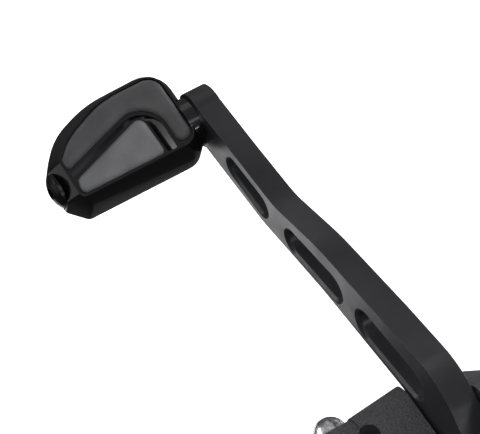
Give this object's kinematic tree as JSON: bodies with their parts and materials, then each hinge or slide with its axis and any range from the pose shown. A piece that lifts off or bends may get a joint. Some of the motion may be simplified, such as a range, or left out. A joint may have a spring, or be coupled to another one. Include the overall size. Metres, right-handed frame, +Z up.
{
  "type": "foot lever",
  "caption": "Left-hand foot lever: slotted bent arm with a rubber-faced toe piece on a bolt, turning on a pin between the two halves of a cast bracket.",
  "frame": {"origin": "midway between the two frame bolt holes, on the bracket's flat mounting face", "axes": "+X inboard along the pivot axis and out of the mounting face, +Y forward along the arm towards the toe piece, +Z up"},
  "size_m": [0.0965, 0.2727, 0.1076],
  "materials": {
    "satin_black_arm": "satin black anodised",
    "gloss_black_metal": "gloss black",
    "tread_rubber": "matte moulded rubber",
    "textured_black_casting": "wrinkle black powder coat on a casting",
    "bushing_bronze": "oiled sintered bronze",
    "bright_steel": "turned bright steel",
    "black_oxide_steel": "black oxide steel",
    "zinc_plated_steel": "bright zinc plate, slightly mottled"
  },
  "bodies": {
    "bracket": {"inner_bracket": "textured_black_casting", "outer_cheek": "textured_black_casting", "pivot_pin": "bright_steel", "pivot_washer": "bright_steel", "pivot_nut": "bright_steel", "thrust_washer_outboard": "bright_steel", "thrust_washer_inboard": "bright_steel", "tie_bolt_front": "black_oxide_steel", "tie_bolt_rear": "black_oxide_steel", "tie_nut_front": "bright_steel", "tie_nut_rear": "bright_steel", "peg_bolt": "bright_steel", "peg_bolt_washer": "bright_steel", "peg_dome_nut": "zinc_plated_steel"},
    "lever": {"lever_arm": "satin_black_arm", "hub_bushing_outboard": "bushing_bronze", "hub_bushing_inboard": "bushing_bronze", "toe_bolt": "black_oxide_steel", "toe_washer": "bright_steel"},
    "toe_piece": {"toe_body": "gloss_black_metal", "toe_rubber_band": "tread_rubber", "toe_rubber_wedge": "tread_rubber"}
  },
  "joints": [
    {"name": "lever_pivot", "type": "hinge", "parent": "bracket", "child": "lever", "pos_m": [-0.02106, 0.052, 0.003], "axis": [-1, 0, 0], "range_deg": [-12, 12]},
    {"name": "toe_swing", "type": "hinge", "parent": "lever", "child": "toe_piece", "pos_m": [-0.06, 0.2324, 0.0455], "axis": [-1, 0, 0], "range_deg": [-25, 25]}
  ]
}
